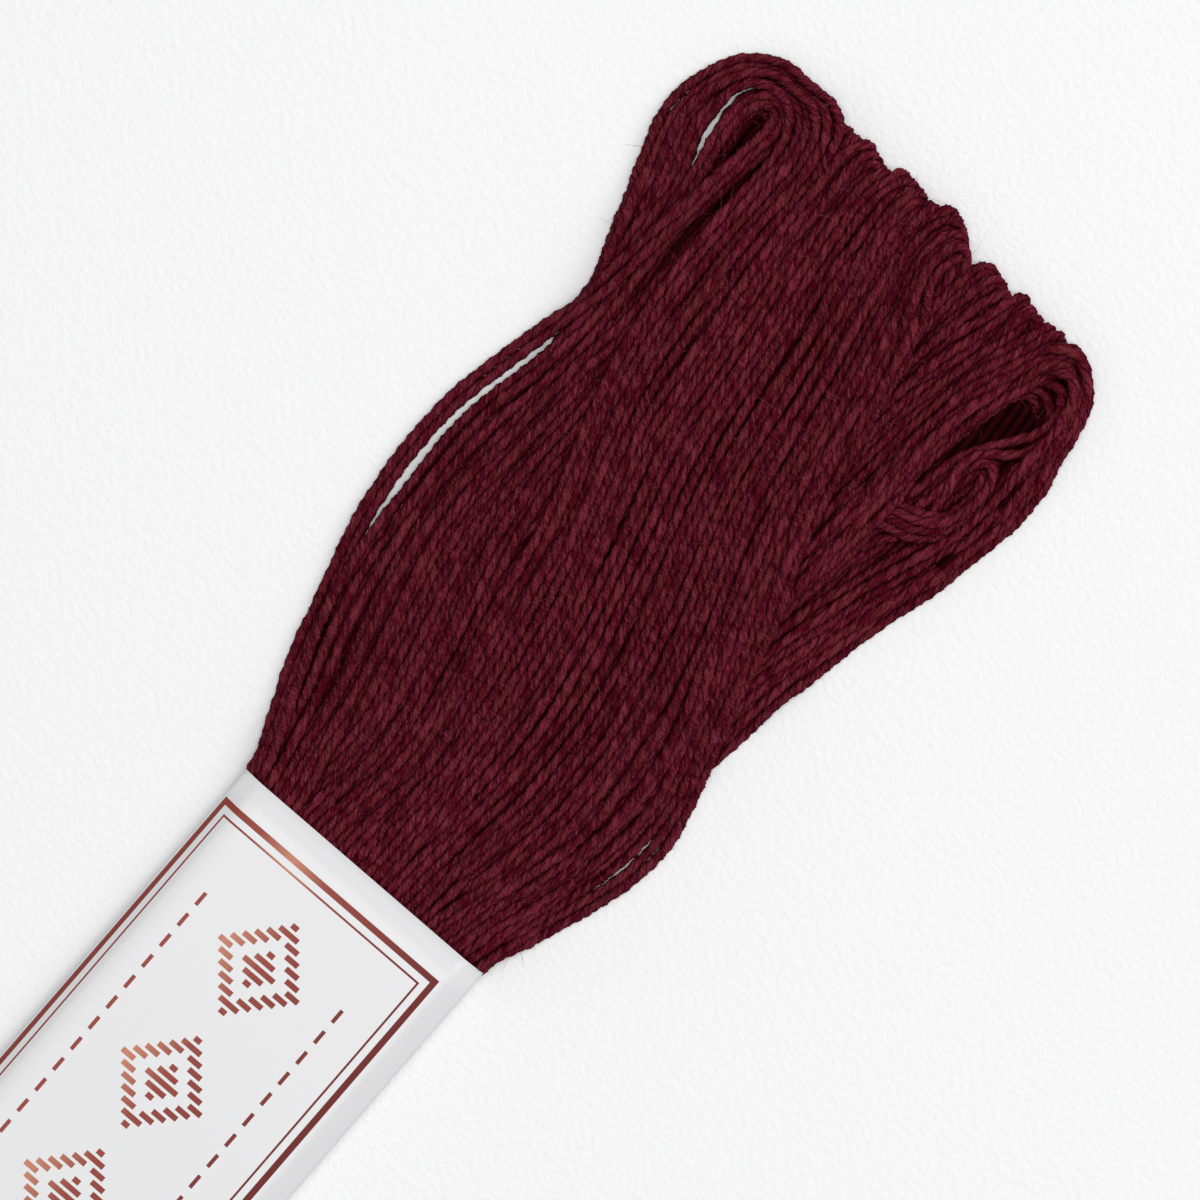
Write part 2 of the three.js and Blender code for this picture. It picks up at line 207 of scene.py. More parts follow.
FAN_FRONT = [
    (2.5, 0, 8, 0, 1.9), (2, 12, 9.6, 12, 1.7), (2, 25, 10.6, 25, 1.6), (2.4, 40, 11, 40, 1.8),
    (2.8, 52, 10.9, 52, 2.2), (3.6, 62, 11.5, 62, 2.6), (4.6, 70, 12.7, 70, 2.8), (5.4, 77, 15.2, 77, 2.8),
    (5.7, 80, 16.2, 80, 2.8),
]
FAN_BACK = [
    (6.8, 76, 21.4, 76, 0.5), (9, 62, 22, 62, 0.5), (12, 50, 20.6, 50, 0.5), (13, 38, 18.8, 38, 0.5),
    (12, 20, 15.4, 20, 0.5), (10.8, 9, 14, 9, 0.7), (10, 0, 13.4, 0, 0.9),
]
RIGHT_LOOP_TURNS = 6
RIGHT_LOOP = [
    (12, 0, 8.5, 0, 1.9), (13, 15, 9.5, 15, 1.6), (13.2, 30, 9.6, 30, 1.7), (13.6, 42, 10.6, 42, 2),
    (14.3, 52, 11.7, 52, 2.4), (14.6, 60, 12.2, 60, 2.7), (15.1, 66, 12.6, 66, 2.8),
    (16.2, 72, 13.5, 72, 2.9), (17.6, 76, 14.8, 77.6, 2.9), (18.9, 78.9, 16.6, 81.4, 2.9),
    (20.5, 79.7, 19, 82.7, 2.9), (21.9, 78.7, 21.4, 81.4, 2.8), (22.7, 76.4, 23, 78.4, 2.7),
    (22.4, 73, 24.2, 74, 2.5), (21.6, 69, 25.6, 70, 2.3), (21.1, 65, 25.9, 65.5, 2.2),
    (20.4, 60.5, 25.3, 61, 2.1), (18.9, 56, 24.1, 56, 2), (16.4, 50, 22.5, 50, 1.9),
    (14.4, 44, 21.5, 44, 1.7), (12.8, 37, 20, 37, 1.4), (11.8, 30, 18.8, 30, 1), (10.8, 22, 15.8, 22, 0.7),
    (10.6, 11, 14.6, 11, 0.8), (10.8, 0, 14.2, 0, 0.9),
]
# Shares of the way across this sheet of the turns that lie alone in its gap
LONE_SHARES = (0.25, 0.62)
HOLLOW_TURNS = 1
HOLLOW = [
    (12.4, 0, 13.4, 0, 1.2), (12.6, 30, 13.4, 30, 0.8), (13.4, 50, 14.4, 50, 0.7), (14.4, 64, 15.2, 64, 0.7),
    (15.6, 72, 16.2, 72, 0.9), (16.8, 76.6, 17.2, 75.4, 1.3), (18.6, 77.6, 18.2, 75.8, 1.5),
    (20.2, 76.6, 19.4, 74.8, 1.5), (21, 74.6, 20.2, 73.2, 1.4), (21.2, 71.6, 20.6, 70.8, 1.2),
    (20.4, 67, 19.8, 67, 0.9), (17.4, 58, 16.6, 58, 0.7), (14, 45, 13.4, 45, 0.6), (12.6, 20, 12, 20, 0.6),
    (12, 0, 11.4, 0, 0.9),
]
SWEEP_TURNS = 4
SWEEP = [
    (12.2, 0, 13.8, 0, 1.4), (12, 20, 13, 20, 1), (13.4, 45, 12.6, 45, 0.7), (16.4, 57, 15.4, 57, 0.6),
    (18.2, 62, 17.4, 62, 0.6), (18.7, 65.2, 17.7, 65.6, 0.8), (19.2, 67, 18.4, 68, 1.9),
    (20, 67.8, 20.2, 69.1, 2.5), (20.7, 66.6, 21.5, 67.4, 2.6), (20.8, 64.4, 21.6, 64, 2.5),
    (20, 62.3, 21.3, 60.8, 2.4), (18, 60.9, 18.8, 58.4, 2.3), (15.4, 60, 15.6, 57.4, 2),
    (12, 58, 12.2, 54.6, 1.3), (9.8, 48, 10.2, 44, 0.8), (9.4, 25, 10.4, 25, 0.7), (9, 0, 11, 0, 0.9),
]
# Two turns that curl round in the hollow of the right loop: x, y, height
CURLS = [
    [
        (11.5, 0, 1.4), (12, 25, 1), (13, 50, 0.9), (14.2, 64, 0.9), (15.4, 72, 1), (17.2, 76.4, 1.3),
        (18.7, 78, 2.2), (19.7, 78.6, 2.9), (20.8, 78.4, 3.1), (21.6, 77.4, 3.1), (22, 75.8, 3),
        (21.6, 73.8, 3), (20.3, 72, 2.9), (18.8, 70, 2.8), (17.5, 68, 2.7), (16.9, 66, 2.4),
        (16.6, 63.6, 1.8), (16, 58, 1.2), (14, 45, 0.9), (12, 20, 0.8), (10.6, 0, 0.9),
    ],
    [
        (10.8, 0, 1.4), (12, 30, 0.9), (13.4, 55, 0.8), (14.6, 66, 0.8), (16.2, 74, 0.9), (18.4, 77.2, 1.1),
        (20.2, 77.2, 2), (21.5, 76.2, 2.5), (22.5, 75, 2.8), (22.6, 73, 2.8), (21.8, 71.4, 2.8),
        (20.4, 70.2, 2.8), (19.2, 69.2, 2.7), (18.3, 67.4, 2.6), (18.2, 65.4, 2.3), (18.5, 63.6, 1.8),
        (18.2, 61, 1.2), (16.6, 57, 0.9), (14.6, 45, 0.8), (13, 20, 0.8), (11.4, 0, 0.9),
    ],
]

# Lobes in which the turns go over the end, each turn leaning to the right: left edge, right edge, tip, fall
LOBES = (
    (-11, -6.4, 84.2, 0.8), (-6.4, -2, 84.9, 1.2), (-2, -0.4, 84.4, 0.8), (-0.4, 4.4, 85.1, 3.1),
    (4.4, 10.2, 83.9, 1.9), (10.2, 13.8, 83.5, 1.2), (13.8, 17.4, 82.9, 0.6),
)
LOBE_REACH = (1.0, 0.7)
OUTER_GAP = 0.08
STRAY = 0.36
WAVE_LENGTHS = (24, 37, 61)
SWAY_APART = 0.1
UNEVEN_HEIGHT = 0.2
# Direction square to the plane that a turn bends in: flat on the table, over the end, or between the two
FLAT_BEND = (0, 0, 1)
END_BEND = (1, 0, 0)
LEANING = (1, 0, 1)
# Share of a turn's length that is drawn finely, from where its upper leg leaves the band
LEFT_SHOWN = 0.6
LEFT_LOOP_SHOWN = 0.75
RIGHT_LOOP_SHOWN = 0.8
HOLLOW_SHOWN = 0.65
END_SHOWN = 0.54


def shares(count, stray):
    """Places of some threads side by side across their sheet, a little uneven."""
    return (np.arange(count) + 0.5 + chance.uniform(-stray, stray, count)) / count


def uneven(run):
    """The run with its legs a little higher or lower than those beside them."""
    run[:, 2] += np.linspace(*chance.uniform(-UNEVEN_HEIGHT, UNEVEN_HEIGHT, 2), len(run))
    return run


def swaying(count):
    """Phases of the soft waves of some threads side by side, which sway nearly together."""
    return chance.random(len(WAVE_LENGTHS)) + chance.normal(0, SWAY_APART, (count, len(WAVE_LENGTHS)))


looped = []
for family, rows, count, stray, shown in (
    ("left", BOWED, BOWED_TURNS, 0, LEFT_SHOWN),
    ("left", EYE, EYE_TURNS, 0, LEFT_SHOWN),
    ("left_loop", LEFT_LOOP, LEFT_LOOP_TURNS, STRAY / 2, LEFT_LOOP_SHOWN),
    ("right_loop", RIGHT_LOOP, RIGHT_LOOP_TURNS, STRAY / 2, RIGHT_LOOP_SHOWN),
    ("right_loop", HOLLOW, HOLLOW_TURNS, STRAY, HOLLOW_SHOWN),
    ("right_loop", SWEEP, SWEEP_TURNS, STRAY / 2, HOLLOW_SHOWN),
):
    places = shares(count, stray)
    if rows is LEFT_LOOP:
        places[:-1] *= 1 - OUTER_GAP
    for share, phases in zip(places, swaying(count)):
        run = uneven(lane(rows, share))
        looped.append(dict(family=family, run=run, level=FLAT_BEND, phases=phases, shown=shown))
for family, front, back, count, stray in (
    ("left", LEFT_UNDER_FRONT, LEFT_UNDER_BACK, LEFT_UNDER_TURNS, STRAY),
    ("middle", MIDDLE_FRONT, MIDDLE_BACK, MIDDLE_TURNS, STRAY),
    ("middle", LOOSE_FRONT, LOOSE_BACK, LOOSE_TURNS, 0),
    ("fan", FAN_FRONT, FAN_BACK, FAN_TURNS, STRAY),
):
    for share, phases in zip(shares(count, stray), swaying(count)):
        up, down = lane(front, share), lane(back, share)
        lobe = [edges for edges in LOBES if edges[0] <= up[-1][0] < edges[1]]
        if family == "left" or not lobe:
            run, level = over_end(up, down, LEFT_UNDER_TIP), END_BEND
        else:
            left, right, tip, fall = lobe[0]
            inward = (up[-1][0] - left) / (right - left)
            down[0][0] = up[-1][0] + LOBE_REACH[0] + LOBE_REACH[1] * (1 - inward) * (right - left)
            run, level = leaning_end(up, down, tip - fall * inward), LEANING
        run = uneven(run)
        looped.append(dict(family=family, run=run, level=level, phases=phases, shown=END_SHOWN))
single_turns = [np.array(points, float) for points in CURLS]
single_turns += [lane(RIGHT_LOOP, share) for share in LONE_SHARES]
for run, phases in zip(single_turns, swaying(len(single_turns))):
    looped.append(dict(
        family="right_loop", run=uneven(run), level=FLAT_BEND, phases=phases, shown=RIGHT_LOOP_SHOWN,
    ))

# Turns of the plain end: the other end of the same hank, which fans out evenly and goes over the end. Its
# threads run on from those of the looped end, in the same places under the band.
BAND_LENGTH = (band_high.y - band_low.y) / MM
PLAIN_FRONT = [
    (-13, 0, 13, 0, 2.9), (-14, 2.5, 14, 2.5, 2.7), (-17, 8, 17, 8, 2.8), (-20.4, 22, 20.4, 22, 2.6),
    (-21.8, 40, 21.8, 40, 2.5), (-22.8, 60, 22.8, 60, 2.4), (-23.4, 74, 23.4, 74, 2.3),
]
PLAIN_BACK = [
    (-24, 73, 21.4, 73, 0.6), (-22, 55, 21.4, 55, 0.6), (-20, 30, 20, 30, 0.6), (-16, 8, 16, 8, 0.8),
    (-13.8, 2.5, 13.8, 2.5, 0.9), (-13, 0, 13, 0, 0.9),
]
PLAIN_TIP = 81.5
PLAIN_CORNER = 4.5
PLAIN_CORNER_POWER = 6
PLAIN_LOBE = 0.7
PLAIN_LOBE_WAVES = (0.8, 0.31)
TOP_LEG_RISE = 0.1
plain = []
plain_phases = swaying(len(looped))
for i, share in enumerate(shares(len(looped), STRAY)):
    across = 2 * share - 1
    lobe = PLAIN_LOBE * math.sin(PLAIN_LOBE_WAVES[0] * i) * math.sin(PLAIN_LOBE_WAVES[1] * i + 1)
    tip = PLAIN_TIP - PLAIN_CORNER * across**PLAIN_CORNER_POWER + lobe
    run = over_end(lane(PLAIN_FRONT, share), lane(PLAIN_BACK, share), tip)
    run[0, 2] += TOP_LEG_RISE * (i % 2)
    plain.append(dict(family="plain", run=run, level=END_BEND, phases=plain_phases[i], shown=END_SHOWN))

# The hank under the band: its legs lie side by side in layers, pressed together by the paper. From there
# each turn is laid in soft waves, and then all of them sink and push each other aside until they rest on
# each other and on the table.
PAPER = 0.2
LAYER_HALF_WIDTH = 13.9
TOP_LAYER_LEGS = 34
UNDER_LAYERS = 3
LAYER_DROP = 0.85
LAYER_DROP_POWER = 6
LEG_STOPS = (-BAND_LENGTH / 2, -BAND_LENGTH / 4, -6, -1)
WAVE_REACH = 0.16
WAVE_VARIES = (0.7, 1.3)
WAVE_RISE = 12
HEIGHT_WAVE = 0.12
HEIGHT_WAVE_LENGTH = 19
LEAST_FLAT_STEP = 0.3
SETTLE_ROUNDS = 140
SINK = 0.012
HOMING = 0.05
EASING = 0.3
CLOSEST = 0.88
PUSH = 0.4
LONGEST_PUSH = 0.3
PAIR_REACH = 1.4
PAIR_ROUNDS = 5
CELL_SHIFT = 500
CELL_ROW = 2000
KIN = 4

layer_low = 2 * PAPER + THREAD / 2
layer_high = (band_high.z - band_low.z) / MM - PAPER - THREAD / 2
layer_heights = np.linspace(layer_high, layer_low, UNDER_LAYERS + 1)


def place_in_layer(across, height):
    """Place of a leg under the band. The layers close up towards the band's two sides."""
    middle = (layer_low + layer_high) / 2
    closing = 1 - LAYER_DROP * across**LAYER_DROP_POWER
    return LAYER_HALF_WIDTH * across, middle + (height - middle) * closing


def places_under_band(turns):
    """Gives each leg of the turns its place under the band: side by side on top, and the rest in columns."""
    legs = [(turn, end) for turn in turns for end in (0, -1)]
    legs.sort(key=lambda leg: -leg[0]["run"][leg[1]][2])
    top = sorted(legs[:TOP_LAYER_LEGS], key=lambda leg: leg[0]["run"][leg[1]][0])
    rest = sorted(legs[TOP_LAYER_LEGS:], key=lambda leg: leg[0]["run"][leg[1]][0])
    for across, (turn, end) in zip(np.linspace(-1, 1, len(top)), top):
        turn[end] = place_in_layer(across, layer_high)
    columns = [rest[k:k + UNDER_LAYERS] for k in range(0, len(rest), UNDER_LAYERS)]
    for across, column in zip(np.linspace(-1, 1, len(columns)), columns):
        column.sort(key=lambda leg: -leg[0]["run"][leg[1]][2])
        for (turn, end), height in zip(column, layer_heights[1:]):
            turn[end] = place_in_layer(across, height)


def lay(turn):
    """Adds the straight legs under the band, and waves on the free run."""
    legs = []
    for end in (0, -1):
        x, height = turn[end]
        legs.append(np.array([(x, y, height) for y in LEG_STOPS]))
    run = np.vstack((legs[0], turn["run"][1:-1], legs[1][::-1]))
    along = np.arange(0, lengths(run)[-1], LAID_STEP)
    run = smooth_run(run, along)
    ahead = np.gradient(run, axis=0)
    side = np.column_stack((ahead[:, 1], -ahead[:, 0]))
    side /= np.maximum(np.linalg.norm(side, axis=1), LEAST_FLAT_STEP)[:, None]
    waves = zip(WAVE_LENGTHS, turn["phases"])
    sway = sum(np.sin(2 * math.pi * (along / wave + phase)) for wave, phase in waves)
    free = np.clip(run[:, 1] / WAVE_RISE, 0, 1)
    run[:, :2] += side * (WAVE_REACH * chance.uniform(*WAVE_VARIES) * sway * free)[:, None]
    run[:, 2] += HEIGHT_WAVE * free * np.sin(2 * math.pi * (along / HEIGHT_WAVE_LENGTH + chance.random()))
    return run


def near_pairs(spots, strand, order):
    """Pairs of points of the threads that lie near each other, apart from neighbours on one thread."""
    cell = np.floor(spots[:, :2] / PAIR_REACH).astype(np.int64) + CELL_SHIFT
    key = cell[:, 0] * CELL_ROW + cell[:, 1]
    by_cell = np.argsort(key, kind="stable")
    found = []
    for step in (0, 1, CELL_ROW, CELL_ROW + 1, CELL_ROW - 1):
        first = np.searchsorted(key[by_cell], key + step, "left")
        count = np.searchsorted(key[by_cell], key + step, "right") - first
        one = np.repeat(np.arange(len(key)), count)
        other = by_cell[np.arange(count.sum()) + np.repeat(first - np.cumsum(count) + count, count)]
        keep = one < other if step == 0 else slice(None)
        found.append((one[keep], other[keep]))
    one, other = (np.concatenate(side) for side in zip(*found))
    near = np.sum((spots[one] - spots[other])**2, axis=1) < PAIR_REACH**2
    kin = (strand[one] == strand[other]) & (abs(order[one] - order[other]) < KIN)
    return one[near & ~kin], other[near & ~kin]


def settle(runs):
    """Lets the threads sink and push each other apart until they lie as a hank does."""
    counts = [len(run) for run in runs]
    home = np.vstack(runs)
    spots = home.copy()
    strand = np.repeat(np.arange(len(runs)), counts)
    order = np.concatenate([np.arange(count) for count in counts])
    before = np.arange(len(spots)) - (order > 0)
    after = np.arange(len(spots)) + np.append(order[1:] > 0, False)
    held = home[:, 1] < 0
    for done in range(SETTLE_ROUNDS):
        if done % PAIR_ROUNDS == 0:
            one, other = near_pairs(spots, strand, order)
        spots[:, 2] -= SINK
        spots[:, :2] += HOMING * (home - spots)[:, :2]
        moved = spots - home
        spots += EASING * ((moved[before] + moved[after]) / 2 - moved)
        apart = spots[one] - spots[other]
        gap = np.maximum(np.linalg.norm(apart, axis=1), 1e-6)
        push = apart * (np.maximum(CLOSEST - gap, 0) / gap * PUSH)[:, None]
        shift = np.column_stack([
            np.bincount(one, push[:, k], len(spots)) - np.bincount(other, push[:, k], len(spots))
            for k in range(3)
        ])
        ahead = spots[after] - spots[before]
        ahead /= np.linalg.norm(ahead, axis=1)[:, None]
        shift -= ahead * np.sum(shift * ahead, axis=1)[:, None]
        spots += np.clip(shift, -LONGEST_PUSH, LONGEST_PUSH)
        spots[:, 2] = np.maximum(spots[:, 2], THREAD / 2)
        spots[held] = home[held]
    return np.split(spots, np.cumsum(counts)[:-1])


for turns in (looped, plain):
    places_under_band(turns)
    for turn, run in zip(turns, settle([lay(turn) for turn in turns])):
        turn["run"] = run
for turn in plain:
    turn["run"] = turn["run"] * (-1, -1, 1) - (0, BAND_LENGTH, 0)

# The thread itself: three soft cotton plies laid together in an S twist, dyed wine red. Its mesh follows the
# plies, so that their crests catch the light and the grooves between them stay dark. On top of that its
# colour has painted shade: a near-black red mixed in wherever its grooves and the gaps between threads are
# hemmed in by other thread.
PLIES = 3
PLY_ANGLES = (-36, 0, 36, 60)
PLY_RADII = (0.88, 1.0, 0.88, 0.71)
PLY_UNEVEN = 0.1
PLY_WAVES = (0.4, 0.9)
PLY_PHASES = (0, 6)
DRAWN_RADIUS = 0.57
TWIST_LENGTH = 3.9
TWIST_LEAST = 0.8
TWIST_RANGE = 0.45
# Unevenness of the twist: reach in radians, length along the thread, spread of its phases
TWIST_WAVES = ((0.6, 5, 40), (0.25, 1.1, 90))
UNDER_TWIST = 0.4
BAND_MARGIN = 1
FIBRE_SPREAD = 100
RING_STEPS = {"shown": 0.42, "under": 1.1}
PLAIN_RING_STEPS = {"shown": 0.85, "under": 2.0}
HIDDEN_STEP = 6.0
CORNERS = len(PLY_ANGLES)
angles = np.radians([360 / PLIES * ply + angle for ply in range(PLIES) for angle in PLY_ANGLES])
radii = np.tile(PLY_RADII, PLIES)
around = np.array([ply + angle * PLIES / 360 for ply in range(PLIES) for angle in PLY_ANGLES])
SIDES = len(angles)


def placed(points):
    """Millimetres from the band's upper edge to metres in the row frame."""
    return np.array((BAND_MIDDLE, BAND_EDGE, 0)) + MM * points


def twisted(turn, seed):
    """Rings of corners along one thread, with each corner's place along and around it."""
    run = turn["run"]
    steps = PLAIN_RING_STEPS if turn["family"] == "plain" else RING_STEPS
    along = lengths(run)
    under_band = (run[:, 1] < -BAND_MARGIN) & (run[:, 1] > BAND_MARGIN - BAND_LENGTH)
    start, end = along[~under_band][[0, -1]]
    shown_end = start + turn["shown"] * (end - start)
    places = np.concatenate((
        np.arange(0, start, HIDDEN_STEP), np.arange(start, shown_end, steps["shown"]),
        np.arange(shown_end, end, steps["under"]), np.arange(end, along[-1], HIDDEN_STEP), along[-1:],
    ))
    centre = smooth_run(run, places)
    ahead = np.gradient(centre, axis=0)
    ahead /= np.linalg.norm(ahead, axis=1)[:, None]
    side = np.cross(ahead, turn["level"])
    side /= np.linalg.norm(side, axis=1)[:, None]
    rise = np.cross(side, ahead)
    slack = np.clip(places - shown_end, 0, end - shown_end)
    twisting = np.clip(places, start, shown_end) + UNDER_TWIST * slack
    phase = 2 * math.pi * (twisting / TWIST_LENGTH / (TWIST_LEAST + TWIST_RANGE * seed) + seed)
    phase += sum(reach * np.sin(twisting / length + spread * seed) for reach, length, spread in TWIST_WAVES)
    turned = angles + phase[:, None]
    waves = places[:, None] / chance.uniform(*PLY_WAVES, PLIES) + chance.uniform(*PLY_PHASES, PLIES)
    swell = DRAWN_RADIUS * radii * (1 + PLY_UNEVEN * np.repeat(np.sin(waves), CORNERS, axis=1))
    ring = centre[:, None] + (swell * np.cos(turned))[:, :, None] * side[:, None]
    ring = ring + (swell * np.sin(turned))[:, :, None] * rise[:, None]
    ring[:, :, 2] = np.maximum(ring[:, :, 2], 0)
    fibre = np.empty((len(places), SIDES, 3))
    fibre[:, :, 0] = places[:, None]
    fibre[:, :, 1] = around
    fibre[:, :, 2] = FIBRE_SPREAD * seed
    return ring, fibre


def mesh_object(name, corners, face_groups):
    """A mesh object from arrays of corners, in metres, and of faces with the same number of corners each."""
    mesh = bpy.data.meshes.new(name)
    sizes = np.concatenate([np.full(len(faces), faces.shape[1]) for faces in face_groups])
    corner_list = np.concatenate([faces.ravel() for faces in face_groups])
    mesh.vertices.add(len(corners))
    mesh.vertices.foreach_set("co", corners.ravel())
    mesh.loops.add(len(corner_list))
    mesh.loops.foreach_set("vertex_index", corner_list)
    mesh.polygons.add(len(sizes))
    mesh.polygons.foreach_set("loop_start", np.cumsum(sizes) - sizes)
    mesh.update(calc_edges=True)
    mesh.validate()
    piece = bpy.data.objects.new(name, mesh)
    bpy.context.collection.objects.link(piece)
    return piece


def thread_piece(name, turns):
    """One mesh of some turns of thread."""
    corners, fibres, walls, caps = [], [], [], []
    start = 0
    for turn in turns:
        ring, fibre = twisted(turn, chance.random())
        count = len(ring)
        grid = start + np.arange(count * SIDES).reshape(count, SIDES)
        beside = np.roll(grid, -1, axis=1)
        walls.append(np.stack((grid[:-1], beside[:-1], beside[1:], grid[1:]), axis=2).reshape(-1, 4))
        caps += [grid[0][::-1], grid[-1]]
        corners.append(ring.reshape(-1, 3))
        fibres.append(fibre.reshape(-1, 3))
        start += count * SIDES
    piece = mesh_object(name, placed(np.vstack(corners)), [np.vstack(walls), np.array(caps)])
    piece.data.shade_smooth()
    ends = np.empty(2 * len(piece.data.edges), np.int32)
    piece.data.edges.foreach_get("vertices", ends)
    in_groove = np.all(ends.reshape(-1, 2) % CORNERS == CORNERS - 1, axis=1)
    sharp_layer = piece.data.attributes.new("sharp_edge", "BOOLEAN", "EDGE")
    sharp_layer.data.foreach_set("value", in_groove)
    fibre_layer = piece.data.attributes.new("fibre", "FLOAT_VECTOR", "POINT")
    fibre_layer.data.foreach_set("vector", np.vstack(fibres).ravel())
    return piece


def new_material(name):
    """An empty node material, with its shader."""
    material = bpy.data.materials.new(name)
    material.use_nodes = True
    return material, material.node_tree, material.node_tree.nodes["Principled BSDF"]


def add_node(tree, kind, inputs=None, **settings):
    """Adds a node, sets its options, and links or sets its inputs."""
    node = tree.nodes.new(kind)
    for key, value in settings.items():
        setattr(node, key, value)
    for key, value in (inputs or {}).items():
        if isinstance(value, bpy.types.NodeSocket):
            tree.links.new(value, node.inputs[key])
        else:
            node.inputs[key].default_value = value
    return node


# The first colour is painted shade, mixed in where threads hem each other in; the others are the dye's own
# tones, varied at random.
THREAD_PAINTED_SHADE = (0.056, 0.0006, 0.0034, 1)
THREAD_DARK = (0.089, 0.0033, 0.0114, 1)
THREAD_LIGHT = (0.222, 0.031, 0.0525, 1)
THREAD_BROWN = (0.184, 0.0335, 0.0365, 1)
SHEEN_TINT = (0.9, 0.2, 0.3, 1)
TONE_RANGE = (1.3, 1.71)
BROWN_RANGE = (0.45, 0.75)
STREAK_ROUGHNESS = 0.65
PAINTED_SHADE_REACH = 0.003
PAINTED_SHADE_POWER = 1.05
FIBRE_RELIEF = 0.0004
thread_material, tree, shader = new_material("wine_red_cotton")
fibre_place = add_node(tree, "ShaderNodeAttribute", attribute_name="fibre")


def along_fibre(per_length, per_ply, detail):
    """Noise drawn out along the thread: its changes for each millimetre of length and each ply around."""
    stretched = {"Vector": fibre_place.outputs["Vector"], "Scale": (per_length, per_ply, 1)}
    place = add_node(tree, "ShaderNodeMapping", stretched)
    inputs = {"Vector": place.outputs[0], "Scale": 1.0, "Detail": detail, "Roughness": STREAK_ROUGHNESS}
    return add_node(tree, "ShaderNodeTexNoise", inputs)


streaks = along_fibre(per_length=0.9, per_ply=6.0, detail=2.0)
strokes = along_fibre(per_length=0.45, per_ply=0.7, detail=1.0)
flecks = along_fibre(per_length=2.6, per_ply=4.5, detail=1.0)
patches = along_fibre(per_length=0.12, per_ply=0.25, detail=1.0)
mottle = add_node(tree, "ShaderNodeMath", {0: streaks.outputs[0], 1: strokes.outputs[0]}, operation="ADD")
flecked = add_node(tree, "ShaderNodeMath", {0: mottle.outputs[0], 1: flecks.outputs[0]}, operation="ADD")
tone = add_node(tree, "ShaderNodeMapRange", {0: flecked.outputs[0], 1: TONE_RANGE[0], 2: TONE_RANGE[1]})
brown = add_node(tree, "ShaderNodeMapRange", {0: patches.outputs[0], 1: BROWN_RANGE[0], 2: BROWN_RANGE[1]})
crest_mix = add_node(
    tree, "ShaderNodeMix", {0: brown.outputs[0], 6: THREAD_LIGHT, 7: THREAD_BROWN}, data_type="RGBA"
)
tone_mix = add_node(
    tree, "ShaderNodeMix", {0: tone.outputs[0], 6: THREAD_DARK, 7: crest_mix.outputs[2]}, data_type="RGBA"
)
# Painted shade: an ambient occlusion node darkens the colour towards the near-black red in the ply grooves
# and the gaps between threads, over and above the shadows that the lamps really cast there.
painted_shade_openness = add_node(tree, "ShaderNodeAmbientOcclusion", {"Distance": PAINTED_SHADE_REACH}, samples=6)
painted_openness = add_node(tree, "ShaderNodeMath", {0: painted_shade_openness.outputs["AO"], 1: PAINTED_SHADE_POWER}, operation="POWER")
thread_painted_shade_mix = add_node(
    tree, "ShaderNodeMix", {0: painted_openness.outputs[0], 6: THREAD_PAINTED_SHADE, 7: tone_mix.outputs[2]}, data_type="RGBA"
)
tree.links.new(thread_painted_shade_mix.outputs[2], shader.inputs["Base Color"])
relief = add_node(
    tree, "ShaderNodeBump", {"Height": mottle.outputs[0], "Strength": 1.0, "Distance": FIBRE_RELIEF}
)
tree.links.new(relief.outputs[0], shader.inputs["Normal"])
shader.inputs["Roughness"].default_value = 0.95
shader.inputs["Specular IOR Level"].default_value = 0.0
shader.inputs["Sheen Weight"].default_value = 0.03
shader.inputs["Sheen Roughness"].default_value = 0.5
shader.inputs["Sheen Tint"].default_value = SHEEN_TINT

plain_half = len(plain) // 2
for name, turns in (
    ("left_turns", [turn for turn in looped if turn["family"] == "left"]),
    ("left_loop_turns", [turn for turn in looped if turn["family"] == "left_loop"]),
    ("middle_turns", [turn for turn in looped if turn["family"] == "middle"]),
    ("fan_turns", [turn for turn in looped if turn["family"] == "fan"]),
    ("right_loop_turns", [turn for turn in looped if turn["family"] == "right_loop"]),
    ("plain_end_left_turns", plain[plain_half:]),
    ("plain_end_right_turns", plain[:plain_half]),
):
    piece = thread_piece(name, turns)
    piece.data.materials.append(thread_material)
    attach(piece, "root")
    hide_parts("skein")

# Inner turns: the layers of the hank that lie hidden between its faces, pressed into one ribbed sheet. They
# are coloured as painted shade, far darker than the thread's own red and darkest in the grooves between the
# ribs. They show only as the dark at the bottom of the gaps between the outer turns.
INNER_TURNS = 46
INNER_STEP = 1.5
INNER_HEIGHTS = {"rib": 0.95, "groove": 0.6, "under": 0.12}
INNER_IN_EYE = {"rib": 1.35, "groove": 1.15}
RIGHT_EYE = (15.2, 58)
INNER_GRAIN = 1400.0
# Columns: y, x of the left border, x of the right border
INNER_BORDERS = np.array([
    (-1, -13, 13), (5, -14.8, 14.8), (10, -16.6, 16.8), (16, -18.6, 18.2), (22, -19.8, 18.4),
    (28, -20.7, 17.4), (34, -21.1, 17.6), (40, -20.9, 18.6), (46, -19.5, 20.4), (52, -18.2, 21.9),
    (58, -18.4, 23.4), (64, -18.8, 24), (70, -18.8, 23.8), (75, -19.3, 23.4), (79, -19.5, 22.6),
    (81.5, -18.8, 20.6),
])
